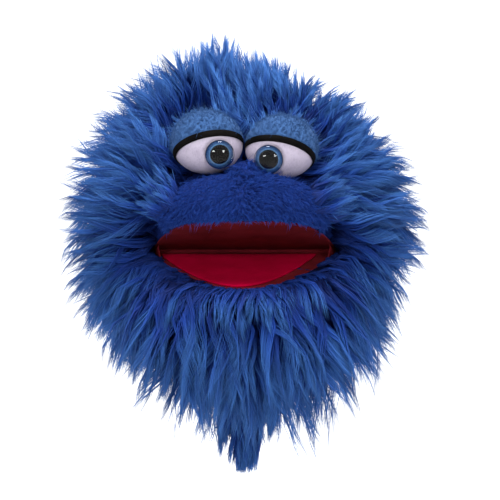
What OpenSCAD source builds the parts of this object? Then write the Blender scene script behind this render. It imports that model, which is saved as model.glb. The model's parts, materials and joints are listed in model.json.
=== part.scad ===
// Moving mouth hand puppet: a round shaggy head with two eyes and a wide mouth, worn on an arm sleeve.
// The origin is the centre of the arm opening. +Z is up, the face looks along -Y, and +X is the viewer's right.
// Fur and plush are closed solids that take in their backing cloth and their pile at its resting length.

/* [Sleeve] */
// Inside radius of the arm opening
arm_r = 34; // [32:1:36]
// Height of the sleeve from its hem to the neck
sleeve_h = 46; // [42:1:46]
// Thickness of the fur on the sleeve
sleeve_pile = 4.8; // [4:0.2:5]
// Height of the hem binding
hem_h = 8; // [6:1:12]
// Thickness of the hem binding
hem_t = 1.8; // [1:0.2:2.4]
// Width of the pointed fur tab where it leaves the front of the hem
tab_w = 52; // [36:1:56]
// How far the point of the tab hangs below the hem
tab_l = 42; // [30:1:44]

/* [Head] */
// Radius of the head seen from the front, pile included
head_r = 118; // [114:1:122]
// Half the depth of the head from front to back, pile included
head_d = 90; // [88:1:92]
// Length of the long pile at the sides
pile = 38; // [36:1:40]
// Height of the head's centre above the arm opening
head_z = 126; // [124:1:128]
// Distance of the head's centre in front of the arm's centre line
head_front = 25; // [24:1:26]

/* [Mouth] */
// Height of the mouth fold above the arm opening
fold_z = 104; // [103:1:105]
// Distance of the mouth fold in front of the arm's centre line
fold_front = 40; // [39:1:41]
// Length of the mouth boards from the fold to the lips
mouth_l = 75; // [72:1:76]
// Half the width of the mouth at the fold
mouth_w = 64; // [62:1:65]
// Angle of the palate above level, with the mouth at rest
palate_up = 13; // [12:0.5:14]
// Angle of the mouth floor below level, with the mouth at rest
floor_down = 19; // [18:0.5:20]
// Length of the tongue
tongue_l = 66; // [56:1:66]
// Half the width of the tongue
tongue_w = 54; // [40:1:54]

/* [Motion] */
// How far the jaw opens past its resting angle
open_more = 22; // [15:1:22]
// How far the head nods forward
nod_forward = 12; // [6:1:12]
// How far the head leans back
nod_back = 20; // [10:1:20]

/* [Eyes] */
// Distance of each eyeball's centre from the middle of the face
eye_x = 25.3; // [25:0.1:26]
// Height of the left eyeball's centre above the arm opening
eye_z = 178; // [177:0.5:180]
// How much lower the right eyeball is sewn on
eye_drop = 3.4; // [0:0.2:4]
// Radius of an eyeball from front to back
eye_r = 21.3; // [20:0.1:21.5]
// Radius of the coloured iris
iris_r = 10; // [9:0.5:10.5]
// Radius of the pupil
pupil_r = 6.4; // [5:0.2:7]

/* [Hidden] */

$fn = 96;
fur = [0.13, 0.24, 0.55];
plush = [0.11, 0.2, 0.45];
felt_red = [0.62, 0.04, 0.13];
gap = 0.2;                 // clearance where one soft part is let into another
lining_t = 1.2;            // thickness of the lining cloth
board_t = 2;               // thickness of a mouth board
far = 240;                 // longer than any part of the puppet

lining_r = arm_r + lining_t;
sleeve_r = lining_r + sleeve_pile;
head_y = -head_front;
skin_r = head_r - pile;
skin_d = 60;
fold_y = -fold_front;
fold_r = 3;                // radius of the rolled cloth along the mouth fold
board_back = 4;            // where a board stops short of the fold
lining_low = 0.8;          // height of the lining's face over the plane through the fold
lining_top = lining_low + lining_t;
jaw_half = 67.7;           // half the width of all that moves with the jaw
jaw_gap = 68.3;            // half the width of the room left for it in the head
pivot_z = 54;              // height of the wrist, about which the head nods
palm_half = 43;            // half the width of the room for the palm

muzzle_r = 27;
muzzle_half = 60;
muzzle_t = 5.5;            // thickness of the short plush
muzzle_at = [0, -95, 130];
muzzle_back = -84;         // where the muzzle meets the head
chin_r = 26;
chin_half = 60;
chin_at = [0, -86, 76];
beard_r = 42;
beard_half = 96;
beard_at = [0, -80, 66];

eye_y = -82;
eye_half = 24;             // half the width of an eyeball
lid_t = 1.2;
trim_t = 1.9;
trim_w = 4;
tongue_x = -4;             // how far the tongue is sewn off the middle
tongue_back = 8;           // where the tongue starts in front of the fold
iris_in = 8.5;             // how far each iris sits towards the nose
iris_low = 8;              // how far each iris sits below the eyeball's centre
iris_y = 16.5;             // how far the iris disc stands in front of the eyeball's centre
shank_r = 2.4;
shank_l = 12;
washer_z = 10.5;           // depth of the washer behind the iris

pivot = [0, pivot_z];
fold = [fold_y, fold_z];

// A point of the side view, [y, z], turned about another; a positive angle takes the front down
function turned(p, c, a) = let (d = p - c)
    [c[0] + d[0] * cos(a) - d[1] * sin(a), c[1] + d[0] * sin(a) + d[1] * cos(a)];
// A point given along and above a mouth board that is tilted by an angle at the fold
function on_board(forward, up, tilt) = turned(fold + [-forward, up], fold, tilt);
// Half of an ellipse of radius r and half length h, to be revolved
function half_oval(r, h, n = 28) = [for (i = [0:n]) let (a = 180 * i / n - 90) [r * cos(a), h * sin(a)]];
// A mouth outline that opens forward from its back edge; a larger power gives a squarer front
function lips(w, l, power, back, n = 36) =
    [for (i = [0:n]) let (c = cos(180 * i / n)) [w * c, -back - (l - back) * (1 - pow(abs(c), power))]];

// A solid of revolution about Y, round from the front
module ball(r, d) translate([0, head_y, head_z]) rotate([90, 0, 0]) rotate_extrude() polygon(half_oval(r, d));
// A solid of revolution about X
module roll(at, r, h) translate(at) rotate([0, 90, 0]) rotate_extrude() polygon(half_oval(r, h));
// A side view outline drawn across the puppet, half on each side
module across(half) rotate([90, 0, 90]) linear_extrude(height = 2 * half, center = true) children();
module at_fold(tilt) translate([0, fold_y, fold_z]) rotate([tilt, 0, 0]) children();
// An oblong with round ends, in the front view
module oblong(z, half_w, half_h) translate([0, z]) {
    square([2 * (half_w - half_h), 2 * half_h], center = true);
    for (s = [-1, 1]) translate([s * (half_w - half_h), 0]) circle(half_h);
}

// ---- room that other parts leave free ----

// Everything under the palate and in front of the fold, where the jaw swings
module jaw_room() across(jaw_gap)
    polygon([on_board(-3, lining_top, -palate_up), on_board(far, lining_top, -palate_up), [-far, 0], [fold_y + 3, 0]]);
// The sleeve's swing about the wrist, seen from the head
module neck_room() {
    reach = sleeve_r + 1.5;
    front = nod_forward + 1.5;
    back = nod_back + 1.5;
    translate([0, 0, pivot_z]) sphere(reach + 2);
    across(sleeve_r + 2) polygon([pivot + [-reach / cos(front), 0],
        pivot + [-reach / cos(front) - far * tan(front), -far],
        pivot + [reach / cos(back) + far * tan(back), -far], pivot + [reach / cos(back), 0]]);
}
// The palm and the backs of the knuckles, open to the room for the jaw in front
module palm_room() across(palm_half)
    polygon([[fold_y + 2, 14], [fold_y + 2, fold_z - 4], on_board(9, 3, -palate_up), on_board(9, 26, -palate_up),
        [-22, 150], [8, 146], [27, 124], [27, 14]]);
// An oblong hole from a depth to the front
module bare(depth, z, half_w, half_h) translate([0, depth, 0]) rotate([90, 0, 0]) linear_extrude(height = far)
    oblong(z, half_w, half_h);
// The bare face in front of the head: the muzzle and the eyes over it
module face_room() {
    bare(head_y, fold_z + 25, muzzle_half + 1, 29);
    bare(eye_y + 8, eye_z - 2, eye_x + eye_half + 3, 25);
}
// Where the jaw may be, so that at its widest opening it clears a sleeve that the head nods towards
module jaw_block() {
    reach = -sleeve_r - 1.5;
    across(jaw_half) polygon([on_board(6, -lining_top, floor_down), on_board(far, -lining_top, floor_down), [-far, 0],
        turned(turned([reach, -tab_l], pivot, -nod_forward), fold, -open_more),
        turned(turned([reach, sleeve_h], pivot, -nod_forward), fold, -open_more)]);
}

// ---- sleeve ----

module tube(outer, inner, low, high) difference() {
    translate([0, 0, low]) cylinder(r = outer, h = high - low);
    translate([0, 0, low - 1]) cylinder(r = inner, h = high - low + 2);
}
// All that lies below the fur's lower edge, apart from the tab
module below_tab() {
    rotate([90, 0, 0]) linear_extrude(height = far, center = true) polygon([[-far, hem_h], [-tab_w / 2, hem_h],
        [0, -tab_l], [tab_w / 2, hem_h], [far, hem_h], [far, -far], [-far, -far]]);
    translate([-far, 0, -far]) cube([2 * far, far, far + hem_h]);
}
module sleeve_fur() color(fur) difference() {
    tube(sleeve_r, lining_r, -tab_l - 1, sleeve_h);
    translate([0, 0, -far]) cylinder(r = lining_r + hem_t + gap, h = far + hem_h);
    below_tab();
}
module sleeve_lining() color([0.1, 0.14, 0.3]) tube(lining_r, arm_r, 0, sleeve_h);
module hem_binding() color([0.08, 0.12, 0.3]) tube(lining_r + hem_t, lining_r, 0, hem_h);

// ---- head ----

// The long pile between the skin and the outside of the head, within a box given by two corners
module pelt(low, high) difference() {
    intersection() {
        ball(head_r, head_d);
        translate(low) cube(high - low);
    }
    ball(skin_r + gap, skin_d + gap);
}
panel_x = 55;              // seam between the crown and each cheek
panel_y = -4;              // seam between the front panels and the back
module crown_fur() color(fur) difference() {
    pelt([-panel_x, -far, head_z], [panel_x, panel_y, far + head_z]);
    face_room();
    for (side = [-1, 1]) eye_roll(side);
}
module cheek_fur(side) color(fur) difference() {
    if (side > 0) pelt([panel_x + gap, -far, 0], [far, panel_y, 2 * far]);
    else pelt([-far, -far, 0], [-panel_x - gap, panel_y, 2 * far]);
    jaw_room();
    face_room();
}
module back_fur() color(fur) difference() {
    pelt([-far, panel_y + gap, 0], [far, far, 2 * far]);
    neck_room();
    palm_room();
}
module head_wadding() color([0.9, 0.9, 0.86]) difference() {
    ball(skin_r, skin_d);
    jaw_room();
    neck_room();
    palm_room();
    muzzle_mass(gap);
    pouch(gap);
    board(mouth_w - 4, mouth_l - 4, 3.5, lining_top, -palate_up, gap);
    fold_roll(gap);
    for (side = [-1, 1]) eye_mass(side);
}

// The whole muzzle, let out by a clearance
module muzzle_mass(more) difference() {
    roll(muzzle_at, muzzle_r + more, muzzle_half + more);
    translate([-far, muzzle_back + more, 0]) cube([2 * far, far, 2 * far]);
}
module muzzle_part() difference() {
    children();
    jaw_room();
    pouch(gap);
    board(mouth_w - 4, mouth_l - 4, 3.5, lining_top, -palate_up, gap);
    for (side = [-1, 1]) eye_mass(side);
}
module muzzle_plush() color(plush) muzzle_part() difference() {
    muzzle_mass(0);
    roll(muzzle_at, muzzle_r - muzzle_t, muzzle_half - muzzle_t);
}
module muzzle_wadding() color([0.9, 0.9, 0.86]) muzzle_part() intersection() {
    muzzle_mass(0);
    roll(muzzle_at, muzzle_r - muzzle_t - gap, muzzle_half - muzzle_t - gap);
}

// A flat board or cloth with a mouth outline, lying between two heights over the plane through the fold
module board(w, l, power, low, tilt, more = 0, t = board_t) at_fold(tilt)
    translate([0, 0, low - more]) linear_extrude(height = t + 2 * more)
        polygon(lips(w + more, l + more, power, board_back - more));
pocket_w = 44;
pocket_l = 67;
pocket_h = 22;
pocket_back = 8;
board_top = lining_top + board_t;
// The finger pocket's outside
module pouch(more) at_fold(-palate_up) translate([0, 0, board_top - more])
    linear_extrude(height = pocket_h + 2 * more) polygon(lips(pocket_w + more, pocket_l + more, 3.5, pocket_back));
module finger_pocket() color([0.12, 0.16, 0.34]) difference() {
    pouch(0);
    at_fold(-palate_up) translate([0, 0, board_top + lining_t])
        linear_extrude(height = pocket_h - 2 * lining_t)
            polygon(lips(pocket_w - lining_t, pocket_l - lining_t, 3.5, pocket_back - 1));
}
module upper_mouth_board() color([0.72, 0.6, 0.45]) board(mouth_w - 4, mouth_l - 4, 3.5, lining_top, -palate_up);
module palate_lining() color(felt_red) board(mouth_w, mouth_l + 7, 4.5, lining_low, -palate_up, 0, lining_t);
module fold_roll(more) translate([-mouth_w - more, fold_y, fold_z]) rotate([0, 90, 0])
    cylinder(r = fold_r + more, h = 2 * (mouth_w + more));
module mouth_fold() color([0.45, 0.03, 0.1]) fold_roll(0);

// ---- eyes ----

function eye_at(side) = [side * eye_x, eye_y, side > 0 ? eye_z - eye_drop : eye_z];
// The frame of one safety eye: +Z points out of the iris, which looks a little down and inward
module at_iris(side) translate(eye_at(side) + [-side * iris_in, -iris_y, -iris_low])
    rotate([10, 0, -side * 10]) rotate([90, 0, 0]) children();
module eye_roll(side) roll(eye_at(side), eye_r + trim_t + gap, eye_half + 1 + gap);
// The space that one eye takes up with its lid, trim and lens
module eye_mass(side) {
    eye_roll(side);
    at_iris(side) cylinder(r = iris_r + 2 * gap, h = 9);
}
module eye_seat(side) at_iris(side) {
    translate([0, 0, -gap]) cylinder(r = iris_r + gap, h = 12);
    translate([0, 0, -shank_l - gap]) cylinder(r = shank_r + gap / 2, h = shank_l);
    translate([0, 0, -washer_z - gap]) cylinder(r = 7 + gap, h = 1.5 + 2 * gap);
}
module eyeball(side) color([0.93, 0.88, 0.9]) difference() {
    roll(eye_at(side), eye_r, eye_half);
    eye_seat(side);
}
// A slab parallel to the lid's edge, from low to high above it
module lid_slab(side, low, high) translate(eye_at(side) + [0, 0, -3.5]) rotate([-27, side * 12, 0])
    translate([-40, -40, low]) cube([80, 80, high - low]);
module lid_shell(side, t) difference() {
    roll(eye_at(side), eye_r + t, eye_half + 1);
    roll(eye_at(side), eye_r + gap / 2, eye_half + gap / 2);
    eye_seat(side);
}
module eyelid(side) color([0.33, 0.47, 0.72]) intersection() {
    lid_shell(side, lid_t);
    lid_slab(side, gap, 60);
}
module lid_trim(side) color([0.1, 0.1, 0.11]) intersection() {
    lid_shell(side, trim_t);
    lid_slab(side, -trim_w, 0);
}
module iris(side) color([0.2, 0.35, 0.55]) at_iris(side) {
    cylinder(r = iris_r, h = 2);
    translate([0, 0, -shank_l]) cylinder(r = shank_r, h = shank_l);
}
module pupil(side) color([0.05, 0.05, 0.05]) at_iris(side) translate([0, 0, 2]) cylinder(r = pupil_r, h = 0.5);
lens_h = 4.6;
module eye_lens(side) color([0.8, 0.9, 1, 0.4]) at_iris(side) {
    dome_r = (iris_r * iris_r + lens_h * lens_h) / (2 * lens_h);
    difference() {
        translate([0, 0, 2 + lens_h - dome_r]) sphere(dome_r);
        translate([0, 0, 2 - 2 * far]) cylinder(r = far, h = 2 * far);
        cylinder(r = pupil_r, h = 2.5);
    }
}
module eye_washer(side) color([0.9, 0.9, 0.9]) at_iris(side) translate([0, 0, -washer_z]) difference() {
    cylinder(r = 7, h = 1.5);
    translate([0, 0, -1]) cylinder(r = shank_r, h = 4);
}

// ---- jaw ----

module chin_mass(more) roll(chin_at, chin_r + more, chin_half + more);
thumb_w = 26;
thumb_l = 56;
thumb_h = 25;
module thumb_pouch(more) at_fold(floor_down) translate([0, 0, -board_top - thumb_h - more])
    linear_extrude(height = thumb_h + 2 * more) polygon(lips(thumb_w + more, thumb_l + more, 4, pocket_back));
module jaw_part() difference() {
    intersection() {
        children();
        jaw_block();
    }
    thumb_pouch(gap);
    board(mouth_w - 4, mouth_l - 4, 1.9, -board_top, floor_down, gap);
}
module beard_fur() color(fur) jaw_part() difference() {
    roll(beard_at, beard_r, beard_half);
    chin_mass(gap);
}
module chin_wadding() color([0.9, 0.9, 0.86]) jaw_part() chin_mass(0);
module thumb_pocket() color([0.12, 0.16, 0.34]) difference() {
    thumb_pouch(0);
    at_fold(floor_down) translate([0, 0, -board_top - thumb_h + lining_t])
        linear_extrude(height = thumb_h - 2 * lining_t)
            polygon(lips(thumb_w - lining_t, thumb_l - lining_t, 4, pocket_back - 1));
}
module lower_mouth_board() color([0.72, 0.6, 0.45]) board(mouth_w - 4, mouth_l - 4, 1.9, -board_top, floor_down);
module floor_lining() color(felt_red) board(mouth_w + 1, mouth_l + 2, 1.9, -lining_top, floor_down, 0, lining_t);
module tongue() color([0.85, 0.03, 0.2]) at_fold(floor_down) translate([tongue_x, -tongue_back, -lining_low])
    linear_extrude(height = 1.5) polygon(lips(tongue_w, tongue_l, 1.9, 0));

sleeve_fur();
sleeve_lining();
hem_binding();
crown_fur();
back_fur();
cheek_fur(-1);  // cheek_fur_left
cheek_fur(1);  // cheek_fur_right
head_wadding();
muzzle_plush();
muzzle_wadding();
finger_pocket();
upper_mouth_board();
palate_lining();
mouth_fold();
eyeball(-1);  // eyeball_left
eyeball(1);  // eyeball_right
eyelid(-1);  // eyelid_left
eyelid(1);  // eyelid_right
lid_trim(-1);  // lid_trim_left
lid_trim(1);  // lid_trim_right
iris(-1);  // iris_left
iris(1);  // iris_right
pupil(-1);  // pupil_left
pupil(1);  // pupil_right
eye_lens(-1);  // eye_lens_left
eye_lens(1);  // eye_lens_right
eye_washer(-1);  // eye_washer_left
eye_washer(1);  // eye_washer_right
beard_fur();
chin_wadding();
thumb_pocket();
lower_mouth_board();
floor_lining();
tongue();
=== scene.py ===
import bpy
import json
import math
import numpy as np
from mathutils import Matrix, Vector


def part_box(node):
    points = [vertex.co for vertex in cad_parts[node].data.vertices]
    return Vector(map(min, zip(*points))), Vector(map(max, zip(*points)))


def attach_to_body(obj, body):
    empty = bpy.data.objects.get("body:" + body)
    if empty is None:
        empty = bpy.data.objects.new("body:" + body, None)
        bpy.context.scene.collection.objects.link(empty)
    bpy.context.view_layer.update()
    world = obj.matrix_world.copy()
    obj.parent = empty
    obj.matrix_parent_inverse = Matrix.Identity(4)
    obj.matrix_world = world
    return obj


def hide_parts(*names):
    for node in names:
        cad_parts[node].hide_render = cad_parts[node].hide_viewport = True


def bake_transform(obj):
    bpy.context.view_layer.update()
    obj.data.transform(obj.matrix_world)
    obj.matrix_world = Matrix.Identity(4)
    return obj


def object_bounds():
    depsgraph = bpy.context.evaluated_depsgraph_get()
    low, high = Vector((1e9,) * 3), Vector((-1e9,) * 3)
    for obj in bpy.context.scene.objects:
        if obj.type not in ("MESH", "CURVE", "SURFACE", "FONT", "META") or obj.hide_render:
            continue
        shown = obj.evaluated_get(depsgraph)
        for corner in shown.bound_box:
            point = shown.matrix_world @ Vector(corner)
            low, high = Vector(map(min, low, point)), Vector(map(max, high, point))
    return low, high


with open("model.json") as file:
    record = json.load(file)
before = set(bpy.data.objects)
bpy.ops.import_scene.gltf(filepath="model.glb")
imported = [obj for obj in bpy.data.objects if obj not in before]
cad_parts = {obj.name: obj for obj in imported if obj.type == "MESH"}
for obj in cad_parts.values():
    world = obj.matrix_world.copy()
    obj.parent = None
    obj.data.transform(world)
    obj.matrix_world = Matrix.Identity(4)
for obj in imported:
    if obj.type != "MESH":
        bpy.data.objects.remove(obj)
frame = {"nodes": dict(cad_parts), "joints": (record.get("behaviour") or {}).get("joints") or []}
CAD_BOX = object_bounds()

# ---- sizes, in metres unless said otherwise
MM = 0.001
SIDES = {-1: "left", 1: "right"}
DOWN = np.array([0, 0, -1.0])
JOINTS = {j["name"]: j for j in frame["joints"]}
FOLD = np.array(JOINTS["jaw_open"]["pos_m"])
WRIST = np.array(JOINTS["head_nod"]["pos_m"])
SCENE = bpy.context.scene


def corners(node):
    """A CAD node's lowest and highest corner as arrays."""
    low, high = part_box(node)
    return np.array(low), np.array(high)


def place(x, y, z):
    """A point given in millimetres from the middle of the mouth's fold."""
    return FOLD + np.array([x, y, z]) * MM


WADDING_LOW, WADDING_HIGH = corners("head_wadding")
SKIN_R = WADDING_HIGH[0]
SKIN_D = 0.75 * SKIN_R
HEAD = np.array([0.0, WADDING_HIGH[1] - SKIN_D, WADDING_HIGH[2] - SKIN_R])
SKIN = np.array([SKIN_R, SKIN_D, SKIN_R])

MUZZLE = place(0, -55, 26)
MUZZLE_SIZE = np.array([60, 27, 27]) * MM
CHIN = place(0, -46, -28)
CHIN_SIZE = np.array([60, 26, 26]) * MM
PALATE_UP = math.radians(13)
FLOOR_DOWN = math.radians(19)

SLEEVE_LOW, SLEEVE_HIGH = corners("sleeve_lining")
SLEEVE_R = SLEEVE_HIGH[0]
TAB_LOW = corners("sleeve_fur")[0][2]

EYE_SIZE = np.array([24.6, 21.3, 21.3]) * MM
LID_DROP = 3.5 * MM      # how far under the eye's middle the plane of the lid's edge passes
IRIS_R = 10 * MM

# The mouth cloths' outlines, in millimetres: half the width, the length, how square the front is, and
# how far in front of the fold the cloth starts.
PALATE_SHAPE = (64, 82, 4.5, 1.0)
FLOOR_SHAPE = (65, 77, 1.9, 1.0)
TONGUE_SHAPE = (54, 74, 1.9, 8.0)
CORNER_HALF_W = 62       # half the mouth's width at its corners
CORNER_BACK = 4          # how far in front of the fold its sides start to curve in


def eye_centre(side):
    low, high = corners(f"eyeball_{SIDES[side]}")
    return (low + high) / 2


# ---- materials


def new_material(name, roughness=0.6, **values):
    """A Principled material, its values set on the shader's own sockets."""
    material = bpy.data.materials.new(name)
    material.use_nodes = True
    shader = shader_of(material)
    shader.inputs["Roughness"].default_value = roughness
    for key, value in values.items():
        shader.inputs[key.replace("_", " ")].default_value = value
    return material


def node(material, kind, **settings):
    made = material.node_tree.nodes.new("ShaderNode" + kind)
    for key, value in settings.items():
        if key in made.inputs:
            made.inputs[key].default_value = value
        else:
            setattr(made, key, value)
    return made


def link(material, source, target):
    material.node_tree.links.new(source, target)


def shader_of(material):
    return material.node_tree.nodes["Principled BSDF"]


def paint(material, colour):
    link(material, colour, shader_of(material).inputs["Base Color"])


def worked(material, operation, first, number=0.0):
    """A Math node's result on an output and a number."""
    made = node(material, "Math", operation=operation)
    made.inputs[1].default_value = number
    link(material, first, made.inputs[0])
    return made.outputs[0]


def blended_noise(material, fine, share, broad):
    """Fine noise times its share, plus broad noise."""
    made = node(material, "Math", operation="MULTIPLY_ADD")
    made.inputs[1].default_value = share
    link(material, fine, made.inputs[0])
    link(material, broad, made.inputs[2])
    return made.outputs[0]


def multiplied(material, one, other):
    made = node(material, "MixRGB", blend_type="MULTIPLY", Fac=1.0)
    link(material, one, made.inputs["Color1"])
    link(material, other, made.inputs["Color2"])
    return made.outputs["Color"]


def srgb(red, green, blue):
    """A colour given as it looks on screen, 0 to 255, as linear light."""
    values = [v / 255 for v in (red, green, blue)]
    return [v / 12.92 if v <= 0.04045 else ((v + 0.055) / 1.055) ** 2.4 for v in values] + [1.0]


def ramp(material, factor, stops):
    """A colour ramp through stops of (position, colour)."""
    made = node(material, "ValToRGB")
    elements = made.color_ramp.elements
    while len(elements) < len(stops):
        elements.new(0.5)
    for element, (position, colour) in zip(elements, stops):
        element.position = position
        element.color = colour
    link(material, factor, made.inputs["Fac"])
    return made.outputs["Color"]


def noise_of(material, scale, detail=3.0, stretch=(1, 1, 1)):
    """Noise over the piece's own coordinates, at a scale in features per metre."""
    mapping = node(material, "Mapping", Scale=stretch)
    link(material, node(material, "TexCoord").outputs["Object"], mapping.inputs["Vector"])
    noise = node(material, "TexNoise", Scale=scale, Detail=detail, Roughness=0.6)
    link(material, mapping.outputs["Vector"], noise.inputs["Vector"])
    return noise.outputs["Fac"]


def split_of(material, vector):
    made = node(material, "SeparateXYZ")
    link(material, vector, made.inputs["Vector"])
    return made.outputs


def bump(material, height, strength, distance):
    made = node(material, "Bump", Strength=strength, Distance=distance)
    link(material, height, made.inputs["Height"])
    link(material, made.outputs["Normal"], shader_of(material).inputs["Normal"])


TONES = 64


def fur_material(name, root, middle, tip, roughness, deep=srgb(150, 155, 175)):
    """Dyed pile with painted light: the strand map's V runs from a darker root, painted shade deep in the
    pile, to a lighter tip, a painted highlight, and each of its columns in U is one random tone of the
    dye.
    """
    material = new_material(name, roughness, Specular_IOR_Level=0.16)
    uv = split_of(material, node(material, "UVMap", uv_map="OFBake").outputs["UV"])
    # Painted shade at the root and a painted highlight at the tip, along each strand.
    along = ramp(material, uv["Y"], [(0.0, root), (0.45, middle), (1.0, tip)])
    column = worked(material, "FLOOR", worked(material, "MULTIPLY", uv["X"], TONES))
    share = worked(material, "DIVIDE", column, TONES)
    shade = ramp(material, share, [(0.0, deep), (1.0, srgb(255, 255, 255))])
    paint(material, multiplied(material, along, shade))
    return material


def cloth_material(name, dark, light, weave=900, depth=0.25, roughness=0.9):
    """Woven or felted cloth: mottled dye and a fine weave in the bump."""
    material = new_material(name, roughness, Specular_IOR_Level=0.03)
    mottle = noise_of(material, 60, 5)
    fine = noise_of(material, weave, 2)
    both = blended_noise(material, fine, 0.35, mottle)
    paint(material, ramp(material, both, [(0.45, dark), (0.9, light)]))
    bump(material, fine, depth, 0.4 * MM)
    return material


def plush_material(name, dark, light, nap=700, depth=0.6):
    """Short pile: soft patches where the nap lies over, and a fine grain of pile tips."""
    material = new_material(name, 0.9, Sheen_Weight=0.06, Sheen_Roughness=0.45,
                            Specular_IOR_Level=0.1)
    patches = noise_of(material, 90, 4)
    grain = noise_of(material, nap, 3, (1.0, 1.0, 0.55))
    both = blended_noise(material, grain, 0.8, patches)
    paint(material, ramp(material, both, [(0.6, dark), (1.15, light)]))
    bump(material, grain, depth, 0.8 * MM)
    return material


LOOKS = {
    # Each pile's root colour is darkened with painted shade and its tip colour lightened with a painted
    # highlight.
    "fur": fur_material("long_blue_pile", srgb(13, 34, 96), srgb(28, 70, 162), srgb(82, 142, 218), 0.6),
    "nap": fur_material("short_blue_pile", srgb(14, 34, 98), srgb(25, 60, 146), srgb(34, 73, 159), 0.85,
                        srgb(190, 193, 203)),
    "lid_nap": fur_material("short_lid_pile", srgb(52, 86, 134), srgb(61, 97, 150),
                            srgb(71, 108, 161), 0.9, srgb(218, 220, 226)),
    "backing": cloth_material("navy_backing", srgb(8, 18, 56), srgb(16, 34, 92)),
    "plush": plush_material("blue_plush", srgb(14, 34, 104), srgb(26, 62, 150)),
    "lid": plush_material("light_blue_plush", srgb(50, 84, 134), srgb(64, 100, 152), 900, 0.35),
    "trim": cloth_material("black_felt", srgb(9, 8, 8), srgb(24, 22, 22), 1400, 0.5),
    "white": plush_material("white_plush", srgb(173, 163, 183), srgb(198, 188, 207), 1100, 0.2),
    "red": cloth_material("crimson_felt", srgb(142, 0, 34), srgb(168, 0, 46), 1200, 0.3),
    "maroon": cloth_material("dark_red_felt", srgb(84, 19, 25), srgb(108, 26, 34), 1200, 0.3),
    "lining": cloth_material("navy_lining", srgb(14, 26, 64), srgb(24, 42, 94), 1500, 0.3),
}


# ---- mesh helpers


def new_object(name, data):
    made = bpy.data.objects.new(name, data)
    SCENE.collection.objects.link(made)
    return made


def mesh_object(name, vertices, faces, look):
    mesh = bpy.data.meshes.new(name)
    mesh.from_pydata([tuple(v) for v in vertices], [], [tuple(f) for f in faces])
    mesh.update()
    mesh.materials.append(LOOKS[look])
    mesh.shade_smooth()
    return new_object(name, mesh)


def vertices_of(mesh):
    co = np.empty(len(mesh.vertices) * 3, np.float32)
    mesh.vertices.foreach_get("co", co)
    return co.reshape(-1, 3).astype(float)


def move_vertices(mesh, co):
    mesh.vertices.foreach_set("co", co.ravel().astype(np.float32))
    mesh.update()


def stands_for(made, body, slot, *nodes):
    """Fastens a piece to a body, in place of CAD nodes. The slot is not used."""
    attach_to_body(made, body)
    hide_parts(*nodes)


def tilted(points, tilt):
    """Points in millimetres from the fold, turned round it."""
    return points @ np.array(Matrix.Rotation(tilt, 3, "X")).T


def turns(count):
    return np.linspace(0, 2 * math.pi, count, endpoint=False)


def circle(radius, height, turn):
    """Points round Z, at the angles in turn."""
    return np.stack([radius * np.cos(turn), radius * np.sin(turn), height + 0 * turn], 1)


def grid_faces(rows, columns, closed, start=0):
    """Faces of a grid of rows by columns, its columns joined round when closed."""
    last = columns if closed else columns - 1
    return [
        (start + r * columns + c, start + r * columns + (c + 1) % columns,
         start + (r + 1) * columns + (c + 1) % columns, start + (r + 1) * columns + c)
        for r in range(rows - 1) for c in range(last)
    ]


def shell_object(name, outer, inner, closed, look):
    """A closed shell between two grids of points of the same shape, rows by columns."""
    rows, columns, _ = outer.shape
    count = rows * columns
    points = np.concatenate([outer.reshape(-1, 3), inner.reshape(-1, 3)])
    faces = grid_faces(rows, columns, closed)
    faces += [tuple(reversed(f)) for f in grid_faces(rows, columns, closed, count)]
    last = columns if closed else columns - 1
    for c in range(last):
        d = (c + 1) % columns
        faces.append((d, c, count + c, count + d))
        base = (rows - 1) * columns
        faces.append((base + c, base + d, count + base + d, count + base + c))
    if not closed:
        for r in range(rows - 1):
            a, b = r * columns, (r + 1) * columns
            faces.append((a, b, count + b, count + a))
            a, b = a + columns - 1, b + columns - 1
            faces.append((b, a, count + a, count + b))
    return mesh_object(name, points, faces, look)


def modifier(made, kind, **settings):
    """Adds a modifier and applies it."""
    added = made.modifiers.new(kind.title(), kind)
    for key, value in settings.items():
        setattr(added, key, value)
    with bpy.context.temp_override(object=made, active_object=made, selected_objects=[made]):
        bpy.ops.object.modifier_apply(modifier=added.name)
    return made


def copy_of(name, source, look):
    made = new_object(name, frame["nodes"][source].data.copy())
    made.data.materials.clear()
    made.data.materials.append(LOOKS[look])
    return made


def ball_object(name, centre, size, look, rings=48, around=72):
    """An ellipsoid made of rings."""
    polar = np.linspace(0, math.pi, rings)[:, None]
    turn = turns(around)[None, :]
    points = np.stack([np.sin(polar) * np.cos(turn), np.sin(polar) * np.sin(turn),
                       np.cos(polar) + 0 * turn], -1)
    points = centre + points.reshape(-1, 3) * size
    made = mesh_object(name, points, grid_faces(rings, around, True), look)
    modifier(made, "WELD", merge_threshold=1e-6)
    return made


# ---- fur


ROOM_LOW, ROOM_HIGH = (np.array(c) for c in CAD_BOX)
ROOM_GROW = 0.03 * (ROOM_HIGH - ROOM_LOW) + 8.5 * MM


def fenced(points, soft=12 * MM):
    """Draws in the tips that would stand too far past the CAD's box."""
    near = ROOM_LOW - ROOM_GROW + soft
    over = np.maximum(near - points, 0)
    points = points + over - soft * np.tanh(over / soft)
    near = ROOM_HIGH + ROOM_GROW - soft
    over = np.maximum(points - near, 0)
    return points - over + soft * np.tanh(over / soft)


def unit(v):
    return v / np.maximum(np.linalg.norm(v, axis=-1, keepdims=True), 1e-9)


def ease(t, low, high):
    """Smoothly from 0 at low to 1 at high."""
    s = np.clip((t - low) / (high - low), 0, 1)
    return s * s * (3 - 2 * s)


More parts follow.
